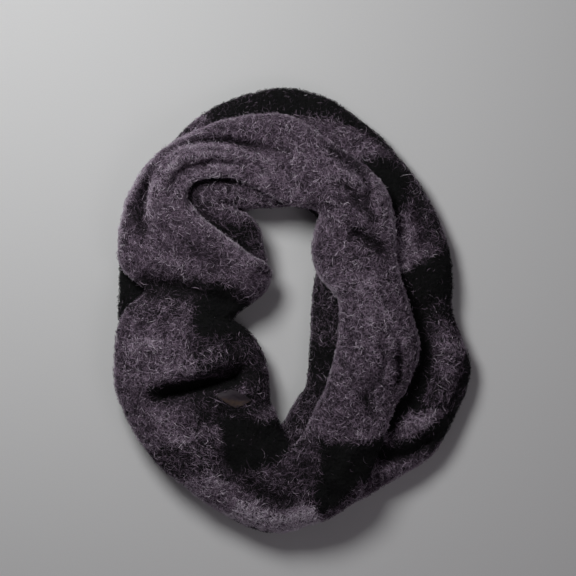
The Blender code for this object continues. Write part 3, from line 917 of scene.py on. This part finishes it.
# Strand: points along it, mean length
LONG_STRAND = (4, 5.4 * MM)
SHORT_STRAND = (3, 4.2 * MM)

BACK_NAPS = ((36000, LONG_STRAND), (18000, SHORT_STRAND))
ROLL_NAPS = ((6000, LONG_STRAND),)
FRONT_NAPS = ((38000, LONG_STRAND), (38000, LONG_STRAND), (40000, SHORT_STRAND))

# Where strands grow: few on cloth that faces down, none where other wraps hide it from every way
ROOT_FACING = -0.75
ROOT_FACING_RANGE = 0.4
WAYS = ((0, 0, 1), (1, 0, 0.6), (-1, 0, 0.6), (0, 1, 0.6), (0, -1, 0.6))
WAYS = [Vector(way).normalized() for way in WAYS]
LOOK_START = 1.2
LOOK_REACH = 0.06
ONE_WAY_SHARE = 0.4

# The strands there lie more in rows, along the wrap
MIXED_TONE = 0.60
MIXED_RANGE = 0.30
COMBED_SHARE = 0.7
COMBED_HEADING = 0.5
COMBED_SWIRL = 0.4
COMBED_SPREAD = 0.45
COMBED_UNCURL = 0.45
COMBED_LONGER = 0.25

# Elsewhere they swirl, in wide and in fine turns
SWIRLS = ((1.9, 22 * MM), (1.2, 8 * MM))
LOOSE_SPREAD = 1.1
CURL_SPREAD = 2.1

LENGTH_EVENNESS = 6.0
LENGTH_LIMITS = (2.5 * MM, 12 * MM)
DARK_TONE = 0.15
DARK_LENGTH = 0.85

# How far strands stand off the cloth, in mm: at the root, halfway and at the tip, a few far out
ROOT_HEIGHT = 1.5
ROOT_HEIGHT_POWER = 1.5
ARCH_HEIGHT = 1.6
ARCH_END = 1.1
TIP_SPREAD = 0.6
WILD_SHARE = 0.035
WILD_HEIGHT = 3.5
LEAST_HEIGHT = 0.15

# A strand's step: no cell of the grid counts as smaller, and no step goes over more cells
SMALL_CELL = 0.2 * MM
MOST_ALONG = 4
MOST_AROUND = 6

# The ribbon that a strand is
HALF_WIDTH = 0.17 * MM
WIDTH_LIMITS = (0.7, 1.35)
WIDTHS_ALONG = (0.8, 1.0, 0.8)
RIBBON_ROLL = 0.6
FLOOR_CLEARANCE = 0.2 * MM

# How many of a check's strands are light yarn
LIGHT_LEAST = 0.02
LIGHT_BY_TONE = 0.62
LIGHT_MORE = 0.36
LIGHT_MORE_FROM = 0.45
LIGHT_MORE_RANGE = 0.55
LOCK_SIZE = 2.6 * MM
LOCK_SHARE = 0.30
ROW_PITCH = 7.5 * MM
ROW_WAVER = 1.2
ROW_SLANT = 5.0
ROW_SHARE = 0.17
# Light yarn is chosen more often where the cloth faces sideways: painted highlight on the rims
RIM_PAINTED_HIGHLIGHT_SHARE = 0.15

# How light the light yarn is: by tone and lock of strands, with painted highlight on fold ridges and on
# cloth that faces sideways, and painted shade in fold troughs
LIGHT_SHADE = 0.49
GAIN_LEAST = 0.65
GAIN_BY_TONE = 0.35
GAIN_MOST = 2.0
LOCK_SHADE = 0.30
LOCK_CALM = 0.5
# Fold ridges are painted lighter and fold troughs darker: painted highlight and painted shade
PAINTED_FOLD_HEIGHT = 3.5 * MM
PAINTED_FOLD_LIMITS = (-1.35, 1.0)
RIDGE_PAINTED_HIGHLIGHT = 0.18
TROUGH_PAINTED_SHADE = 0.23
# Cloth that faces sideways gets lighter strands: painted highlight on the rims
PAINTED_RIM_FACING = 0.55
PAINTED_RIM_RANGE = 0.5
RIM_PAINTED_HIGHLIGHT = 0.42
LIGHT_SPREAD = 0.10
BRIGHT_SHARE = 0.22
BRIGHT_LEAST = 0.12
BRIGHT_RANGE = 0.28
DEEP_SHARE = 0.22
DEEP_STEP = 0.20

DARK_SHADE = 0.05
DARK_BY_TONE = 0.05
DARK_SPREAD = 0.025
# Along each strand: painted shade towards the root and painted highlight at the tip
PAINTED_SHADE_ALONG = (0.82, 1.0, 1.06)
PAINTED_TIP_HIGHLIGHT = 1.1

Roots = namedtuple("Roots", "u v spots share tone mixed")


def shown_share(spot, hiders):
    """How much of a spot shows: none if it is hidden from every way, little if from all but one."""
    hidden = 0
    for way in WAYS:
        if any(tree.ray_cast(spot, way, LOOK_REACH)[0] is not None for tree in hiders):
            hidden += 1
    if hidden == len(WAYS):
        return 0.0
    return ONE_WAY_SHARE if hidden == len(WAYS) - 1 else 1.0


def cell_weights(heap, hiders):
    """The area of each cell, as far as it shows."""
    g = heap.grid
    n = heap.normals()
    following = np.roll(g, -1, 0) if heap.closed else np.concatenate([g[1:], g[-1:]])
    area = np.linalg.norm(np.cross(following - g, np.roll(g, -1, 1) - g), axis=-1)
    area[:, heap.bottom_start :] = 0
    area = area * np.clip((n[..., 2] - ROOT_FACING) / ROOT_FACING_RANGE, 0.0, 1.0)
    if hiders:
        for cell in zip(*np.nonzero(area)):
            start = Vector(g[cell] + n[cell] * LOOK_START * MM)
            area[cell] *= shown_share(start, hiders)
    return area


def in_outline(corners, spots):
    """Which of the spots in plan lie within a convex outline."""
    turns = []
    for corner, side in zip(corners, np.roll(corners, -1, axis=0) - corners):
        turns.append(side[0] * (spots[:, 1] - corner[1]) - side[1] * (spots[:, 0] - corner[0]))
    turns = np.array(turns)
    return np.all(turns <= 0, axis=0) | np.all(turns >= 0, axis=0)


def bilinear(grid, u, v, closed):
    """The grid's values at places between its points."""
    n, m = grid.shape[:2]
    i = np.floor(u).astype(int)
    j = np.floor(v).astype(int)
    s, t = (u - i)[:, None], (v - j)[:, None]
    if closed:
        i0, i1 = i % n, (i + 1) % n
    else:
        i0, i1 = np.clip(i, 0, n - 1), np.clip(i + 1, 0, n - 1)
    j0, j1 = j % m, (j + 1) % m
    low = grid[i0, j0] * (1 - s) + grid[i1, j0] * s
    high = grid[i0, j1] * (1 - s) + grid[i1, j1] * s
    return low * (1 - t) + high * t


def scatter_roots(wrap, weights, count):
    """Roots at random places, as many in a cell as its weight asks for."""
    heap = wrap.heap
    n, m = heap.grid.shape[:2]
    cells = rng.choice(n * m, size=count, p=weights.ravel() / weights.sum())
    u = cells // m + rng.random(count)
    v = cells % m + rng.random(count)
    if not heap.closed:
        u = np.minimum(u, n - GRID_END)
    spots = bilinear(heap.grid, u, v, heap.closed)
    share = bilinear(heap.share[..., None], u, v, heap.closed)[:, 0]
    index = heap.index[np.clip(u.astype(int), 0, n - 1), 0]
    tone = tone_of(wrap, index, share, spots)
    mixed = np.clip(1 - np.abs(tone - MIXED_TONE) / MIXED_RANGE, 0.0, 1.0)
    return Roots(u, v, spots, share, tone, mixed)


def comb(roots, mean_length, seed):
    """Which way each strand heads, how it curls and how long it is."""
    count = len(roots.u)
    mixed = roots.mixed
    swirl = sum(turns * noise_at(roots.spots, size, seed + k) for k, (turns, size) in enumerate(SWIRLS))
    combed = COMBED_HEADING + COMBED_SWIRL * swirl + rng.normal(0, COMBED_SPREAD, count)
    combed = combed + math.pi * rng.integers(0, 2, count)
    loose = swirl * math.pi + rng.normal(0, LOOSE_SPREAD, count)
    heading = np.where(rng.random(count) < COMBED_SHARE * mixed, combed, loose)
    curl = rng.normal(0, CURL_SPREAD, count) * (1 - COMBED_UNCURL * mixed)
    length = rng.gamma(LENGTH_EVENNESS, 1.0, count) / LENGTH_EVENNESS * mean_length
    length = np.clip(length, *LENGTH_LIMITS)
    length[roots.tone < DARK_TONE] *= DARK_LENGTH
    length *= 1 + COMBED_LONGER * mixed
    return heading, curl, length


def stride(runs, u, v, closed, angle, piece):
    """How far along and around the grid a step in this direction on the cloth goes."""
    pu, pv = bilinear(runs[1] / 2, u, v, closed), bilinear(runs[0] / 2, u, v, closed)
    first = unit(pu)
    second = unit(pv - first * np.sum(first * pv, axis=1, keepdims=True))
    way = first * np.cos(angle)[:, None] + second * np.sin(angle)[:, None]
    uu, vv, uv = np.sum(pu * pu, axis=1), np.sum(pv * pv, axis=1), np.sum(pu * pv, axis=1)
    ru, rv = np.sum(pu * way, axis=1) * piece, np.sum(pv * way, axis=1) * piece
    cell = np.maximum(uu * vv - uv * uv, SMALL_CELL**4)
    du, dv = (vv * ru - uv * rv) / cell, (uu * rv - uv * ru) / cell
    return np.clip(du, -MOST_ALONG, MOST_ALONG), np.clip(dv, -MOST_AROUND, MOST_AROUND)


def lay_strands(heap, roots, stations, heading, curl, length):
    """The points of all strands, station by station, each a step on along the cloth and off it."""
    count = len(heading)
    root_height = rng.random(count) ** ROOT_HEIGHT_POWER * ROOT_HEIGHT * MM
    arch = rng.random(count) ** 2 * ARCH_HEIGHT * MM
    tip = rng.normal(0, TIP_SPREAD, count) * MM
    wild = rng.random(count) < WILD_SHARE
    tip[wild] += rng.random(wild.sum()) * WILD_HEIGHT * MM

    normals, runs = heap.normals(), heap.runs()
    u, v = roots.u, roots.v
    points = []
    for k in range(stations):
        s = k / (stations - 1)
        if k:
            du, dv = stride(runs, u, v, heap.closed, heading + curl * s, length / (stations - 1))
            u, v = u + du, v + dv
        if not heap.closed:
            u = np.clip(u, 0, len(heap.grid) - GRID_END)
        here = bilinear(heap.grid, u, v, heap.closed)
        out = unit(bilinear(normals, u, v, heap.closed))
        height = root_height + arch * math.sin(math.pi * min(1.0, s * ARCH_END)) + tip * s * s
        height = np.maximum(height, LEAST_HEIGHT * MM)
        points.append(here + out * height[:, None])
    return np.array(points)


def ribbons(name, points, out):
    """One mesh of ribbons along the strands' points, each with a pointed tip."""
    stations, count = points.shape[:2]
    tangent = np.gradient(points, axis=0)
    sideways = unit(np.cross(tangent, out))
    roll = rng.normal(0, RIBBON_ROLL, count)[None, :, None]
    sideways = unit(sideways * np.cos(roll) + np.cross(unit(tangent), sideways) * np.sin(roll))
    half = (HALF_WIDTH * rng.uniform(*WIDTH_LIMITS, count))[:, None]
    corners = []
    for k in range(stations - 1):
        corners.append(points[k] - sideways[k] * half * WIDTHS_ALONG[k])
        corners.append(points[k] + sideways[k] * half * WIDTHS_ALONG[k])
    corners.append(points[-1])
    corners = np.stack(corners, axis=1)
    corners[..., 2] = np.maximum(corners[..., 2], FLOOR_CLEARANCE)
    start = np.arange(count)[:, None] * corners.shape[1]
    quads = np.concatenate([start + 2 * k + np.array([[0, 1, 3, 2]]) for k in range(stations - 2)])
    tips = start + 2 * (stations - 2) + np.array([[0, 1, 2]])
    return mesh_object(name, corners.reshape(-1, 3), [quads, tips])


def strand_shades(wrap, roots, out):
    """A check is black yarn, light heather yarn or both, and each strand keeps its yarn's shade, with
    painted highlight on fold ridges and rims and painted shade in fold troughs.
    """
    count = len(roots.u)
    tone, mixed = roots.tone, roots.mixed
    lock = noise_at(roots.spots, LOCK_SIZE, wrap.seed + 11)
    # Painted shade in the fold troughs and painted highlight on the fold ridges
    fold = np.clip(fold_rise(wrap.folds, roots.spots[:, :2]) / PAINTED_FOLD_HEIGHT, *PAINTED_FOLD_LIMITS)
    fold = np.where(fold > 0, RIDGE_PAINTED_HIGHLIGHT * fold, TROUGH_PAINTED_SHADE * fold)
    # Painted highlight where the cloth faces sideways
    rim = np.clip((PAINTED_RIM_FACING - out[:, 2]) / PAINTED_RIM_RANGE, 0.0, 1.0)
    more = LIGHT_MORE * smooth((tone - LIGHT_MORE_FROM) / LIGHT_MORE_RANGE)
    light_share = np.clip(LIGHT_LEAST + LIGHT_BY_TONE * tone + more, 0.0, 1.0)
    along = roots.u * wrap.heap.step / ROW_PITCH + ROW_WAVER * lock
    rows = np.sin(2 * math.pi * along + ROW_SLANT * roots.share)
    light_share = light_share + (LOCK_SHARE * lock + ROW_SHARE * rows) * mixed
    chosen = rng.random(count) < light_share + RIM_PAINTED_HIGHLIGHT_SHARE * rim * tone

    gain = np.minimum(GAIN_MOST, GAIN_LEAST + GAIN_BY_TONE * tone)
    light = gain * (LIGHT_SHADE + LOCK_SHADE * lock * (1 - LOCK_CALM * mixed) + fold + RIM_PAINTED_HIGHLIGHT * rim)
    light += rng.normal(0, LIGHT_SPREAD, count)
    bright = rng.random(count) < BRIGHT_SHARE
    light[bright] += BRIGHT_LEAST + BRIGHT_RANGE * rng.random(bright.sum())
    deep = rng.random(count) < DEEP_SHARE
    light[deep] -= DEEP_STEP
    dark = DARK_SHADE + DARK_BY_TONE * tone + rng.normal(0, DARK_SPREAD, count)
    return np.clip(np.where(chosen, light, dark), 0.0, 1.0)


def nap(name, wrap, weights, count, strand):
    """Strands rooted all over a wrap, each a narrow bent ribbon in the tone of its root."""
    stations, mean_length = strand
    heap = wrap.heap
    roots = scatter_roots(wrap, weights, count)
    points = lay_strands(heap, roots, stations, *comb(roots, mean_length, wrap.seed + 7))
    if wrap.cover is not None:
        kept = ~np.any([in_outline(wrap.cover, p[:, :2]) for p in points[: stations - 1]], axis=0)
        points = points[:, kept]
        roots = Roots(*(values[kept] for values in roots))
    out = unit(bilinear(heap.normals(), roots.u, roots.v, heap.closed))
    ob = ribbons(name, points, out[None])
    # Each strand is darker at its root and lighter at its tip: painted shade and painted highlight
    along = np.append(np.repeat(PAINTED_SHADE_ALONG[: stations - 1], 2), PAINTED_TIP_HIGHLIGHT)
    put_attribute(ob.data, "shade", strand_shades(wrap, roots, out)[:, None] * along[None, :])
    return ob


# The wraps, from the one that lies lowest


def tree_of(ob):
    return BVHTree.FromObject(ob, bpy.context.evaluated_depsgraph_get())


# The shade of the cloth under the strands, from dark checks to light ones
CLOTH_SHADE = 0.02
CLOTH_SHADE_BY_TONE = 0.25


def dress(wrap, knit, fibre):
    """Gives a wrap's cloth its checks, wall and nap, and returns the nap's pieces."""
    heap, cloth = wrap.heap, wrap.cloth
    tone = tone_of(wrap, heap.index, heap.share, heap.grid)
    put_attribute(cloth.data, "shade", CLOTH_SHADE + CLOTH_SHADE_BY_TONE * np.minimum(tone, 1.0) ** 2)
    cloth.data.materials.append(knit)
    add_wall(cloth, CLOTH_THICK)
    weights = cell_weights(heap, wrap.hiders)
    made = []
    for k, (count, strand) in enumerate(wrap.naps):
        piece = nap(f"nap_{wrap.name}_{k + 1}", wrap, weights, count, strand)
        piece.data.materials.append(fibre)
        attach(piece, "root")
        made.append(piece)
    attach(cloth, "root")
    return made


RANDOM_SEED = 20260917
rng = np.random.default_rng(RANDOM_SEED)

# The first turn, a whole ring on the surface
back = Heap(
    BACK_SECTIONS, closed=True, step=3.4 * MM, top_points=34, layers=3, shape=(4.0, 0.5), phase=0.0,
    folds=BACK_FOLDS, creases=BACK_CREASES, support=None, seed=3,
)
back_cloth = tube("back_wrap_cloth", back)
back_tree = tree_of(back_cloth)

# The inner layers of the second turn, rolled up at the upper left
roll = Heap(
    ROLL_SECTIONS, closed=False, step=2.6 * MM, top_points=22, layers=2, shape=(2.2, 0.6), phase=2.6,
    folds=ROLL_FOLDS, creases=(), support=Support([back_tree]), seed=5,
)
roll_cloth = tube("inner_roll_cloth", roll)
roll_tree = tree_of(roll_cloth)

# The second turn, over both
front = Heap(
    FRONT_SECTIONS, closed=True, step=2.3 * MM, top_points=52, layers=2, shape=(2.6, 0.6), phase=1.3,
    folds=FRONT_FOLDS, creases=FRONT_CREASES, support=Support([back_tree, roll_tree]), seed=9,
)
front_cloth = tube("front_wrap_cloth", front)
front_tree = tree_of(front_cloth)

wraps = (
    Wrap(
        "back", back, back_cloth, BACK_CHECKS, BACK_TONE, BACK_FOLDS + BACK_CREASES, seed=21,
        hiders=(front_tree, roll_tree), naps=BACK_NAPS, cover=None,
    ),
    Wrap(
        "roll", roll, roll_cloth, ROLL_CHECKS, ROLL_TONE, ROLL_FOLDS, seed=31,
        hiders=(front_tree,), naps=ROLL_NAPS, cover=None,
    ),
    Wrap(
        "front", front, front_cloth, FRONT_CHECKS, FRONT_TONE, FRONT_FOLDS + FRONT_CREASES, seed=41,
        hiders=(), naps=FRONT_NAPS, cover=TAB_COVER,
    ),
)

knit = knit_material("plaid_knit_cloth")
fibre = fibre_material("plaid_knit_nap")
naps = {wrap.name: dress(wrap, knit, fibre) for wrap in wraps}

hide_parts("back_wrap")
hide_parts("inner_roll")
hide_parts("front_upper_left", "front_left", "front_bottom", "front_right")

# The small leather tab: a thin lozenge that follows the cloth, one corner a little curled. Its
# places are shares of its length (s) and width (t)
TAB_COUNT = (31, 23)
TAB_THICK = 1.0 * MM
TAB_ROUNDING = 0.09
TAB_LIFT = 1.1 * MM
TAB_BRIDGE_ROUNDS = 30
TAB_BRIDGE_OWN = 0.4
TAB_BRIDGE_AROUND = 0.15
TAB_LUMP = 0.35 * MM
TAB_LUMP_SIZE = 7 * MM
TAB_SEED = 61

TAB_CURL = 1.1 * MM
TAB_CURL_S = (0.1, 0.5)
TAB_CURL_T = (0.6, 0.4)
TAB_CREASE = 0.5 * MM
TAB_CREASE_T = 0.62
TAB_CREASE_SLANT = 0.10
TAB_CREASE_WIDTH = 0.05
TAB_CREASE_END = 0.85
TAB_CREASE_FADE = 0.1

# The wear is more along s and less along t, and least in the crease and in a groove by the edge
TAB_WEAR = 0.75
TAB_WEAR_S = 0.9
TAB_WEAR_T = 0.8
TAB_WEAR_MIDDLE = 0.45
TAB_WEAR_FROM = 0.18
TAB_WEAR_RANGE = 0.55
CREASE_UNWORN = 0.75
GROOVE_UNWORN = 0.5
GROOVE_PLACE = 0.13
GROOVE_WIDTH = 0.04


def tab_rest(plan, tree):
    """The height of the cloth under the tab, whose leather bridges the small hollows."""
    heights = np.zeros(plan.shape[:2])
    for cell in np.ndindex(heights.shape):
        heights[cell] = tree.ray_cast(Vector((*plan[cell], CAST_HEIGHT)), DOWN)[0].z
    for _ in range(TAB_BRIDGE_ROUNDS):
        padded = np.pad(heights, 1, mode="edge")
        around = padded[2:, 1:-1] + padded[:-2, 1:-1] + padded[1:-1, 2:] + padded[1:-1, :-2]
        heights = np.maximum(heights, heights * TAB_BRIDGE_OWN + around * TAB_BRIDGE_AROUND)
    return heights


def make_tab(tree):
    """The tab's skin over the cloth, its wear and its wall."""
    a = np.linspace(-1, 1, TAB_COUNT[0])[:, None]
    b = np.linspace(-1, 1, TAB_COUNT[1])[None, :]
    rounded = 1 - TAB_ROUNDING * (a * a * b * b)
    s, t = (a * rounded + 1) / 2, (b * rounded + 1) / 2
    left, top, right, bottom = TAB_CORNERS
    plan = (
        left * ((1 - s) * (1 - t))[..., None] + top * ((1 - s) * t)[..., None]
        + bottom * (s * (1 - t))[..., None] + right * (s * t)[..., None]
    )
    crease = (t - TAB_CREASE_T - TAB_CREASE_SLANT * (s - 0.5)) / TAB_CREASE_WIDTH
    crease = np.exp(-(crease**2)) * smooth((TAB_CREASE_END - s) / TAB_CREASE_FADE)
    curl = TAB_CURL * smooth((t - TAB_CURL_T[0]) / TAB_CURL_T[1])
    curl = curl * smooth((s - TAB_CURL_S[0]) / TAB_CURL_S[1])
    heights = tab_rest(plan, tree) + TAB_LIFT + curl - TAB_CREASE * crease
    points = np.concatenate([plan, heights[..., None]], axis=2)
    points[..., 2] += TAB_LUMP * noise_at(points, TAB_LUMP_SIZE, TAB_SEED)
    ids = np.arange(TAB_COUNT[0] * TAB_COUNT[1]).reshape(TAB_COUNT)
    quads = np.stack([ids[:-1, :-1], ids[1:, :-1], ids[1:, 1:], ids[:-1, 1:]], axis=-1).reshape(-1, 4)
    ob = mesh_object("leather_tab", points.reshape(-1, 3), [quads])
    if ob.data.polygons[0].normal.z < 0:
        ob.data.flip_normals()
    edge = np.minimum(1 - np.abs(a) + 0 * b, 1 - np.abs(b) + 0 * a)
    groove = np.exp(-(((edge - GROOVE_PLACE) / GROOVE_WIDTH) ** 2))
    wear = s * TAB_WEAR_S + (TAB_WEAR_MIDDLE - t) * TAB_WEAR_T - TAB_WEAR_FROM
    wear = TAB_WEAR * smooth(wear / TAB_WEAR_RANGE)
    wear = wear * (1 - CREASE_UNWORN * crease) * (1 - GROOVE_UNWORN * groove)
    put_attribute(ob.data, "wear", wear)
    ob.data.materials.append(leather_material("tab_leather_bare"))
    add_wall(ob, TAB_THICK)
    return ob


tab = make_tab(front_tree)
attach(tab, "root")
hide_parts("tab")

FLOOR_HALF = 2.0

# The photo, in pixels: its side, and where the middle of the ring is in it
PHOTO_SIDE = 576
RING_MIDDLE = (293, 310)
PIXEL = 0.85

# The camera looks straight down, as in the photo, and sees the photo's width at the rim's height
CAMERA_DISTANCE = 2.6
RIM_HEIGHT = 0.03
SENSOR_WIDTH = 36.0

# Studio walls: paler near the surface than overhead
WALL_COLOUR = (0.27, 0.255, 0.27)
OVERHEAD_COLOUR = (0.042, 0.038, 0.042)
WALL_TOP = 0.34


def make_floor():
    mesh = bpy.data.meshes.new("floor")
    corners = [(x * FLOOR_HALF, y * FLOOR_HALF, 0) for x, y in ((-1, -1), (1, -1), (1, 1), (-1, 1))]
    mesh.from_pydata(corners, [], [(0, 1, 2, 3)])
    ob = bpy.data.objects.new("floor", mesh)
    bpy.context.scene.collection.objects.link(ob)
    ob.data.materials.append(floor_material("pale_surface"))
    return ob


def make_camera():
    data = bpy.data.cameras.new("camera")
    data.sensor_width = SENSOR_WIDTH
    data.lens = SENSOR_WIDTH * CAMERA_DISTANCE / (PHOTO_SIDE * PIXEL * MM)
    ob = bpy.data.objects.new("camera", data)
    x = (PHOTO_SIDE // 2 - RING_MIDDLE[0]) * PIXEL * MM + CENTRE_MOVE[0]
    y = (RING_MIDDLE[1] - PHOTO_SIDE // 2) * PIXEL * MM + CENTRE_MOVE[1]
    ob.location = (x, y, CAMERA_DISTANCE + RIM_HEIGHT)
    bpy.context.scene.collection.objects.link(ob)
    bpy.context.scene.camera = ob


def area_light(name, place, target, size, power, colour):
    data = bpy.data.lights.new(name, "AREA")
    data.shape = "DISK"
    data.size = size
    data.energy = power
    data.color = colour
    ob = bpy.data.objects.new(name, data)
    ob.location = place
    way = Vector(target) - Vector(place)
    ob.rotation_euler = way.to_track_quat("-Z", "Y").to_euler()
    bpy.context.scene.collection.objects.link(ob)


def make_walls():
    world = bpy.data.worlds.new("studio")
    world.use_nodes = True
    tree = world.node_tree
    way = tree.nodes.new("ShaderNodeTexCoord")
    split = tree.nodes.new("ShaderNodeSeparateXYZ")
    link(tree, way.outputs["Generated"], split.inputs[0])
    stops = ((0.0, WALL_COLOUR), (WALL_TOP, OVERHEAD_COLOUR))
    colour = ramp_colour(tree, split.outputs["Z"], stops, interpolation="EASE")
    link(tree, colour, tree.nodes["Background"].inputs["Color"])
    bpy.context.scene.world = world


floor = make_floor()
make_camera()
area_light(
    "key", place=(-0.36, 0.50, 0.78), target=(-0.10, 0.12, 0.0), size=0.40, power=5.9,
    colour=(0.99, 1.0, 0.985),
)
area_light(
    "fill", place=(0.45, -0.45, 1.0), target=(0.10, -0.10, 0.0), size=0.60, power=0.8,
    colour=(1.0, 0.95, 1.0),
)
make_walls()
bpy.context.scene.view_settings.view_transform = "Standard"
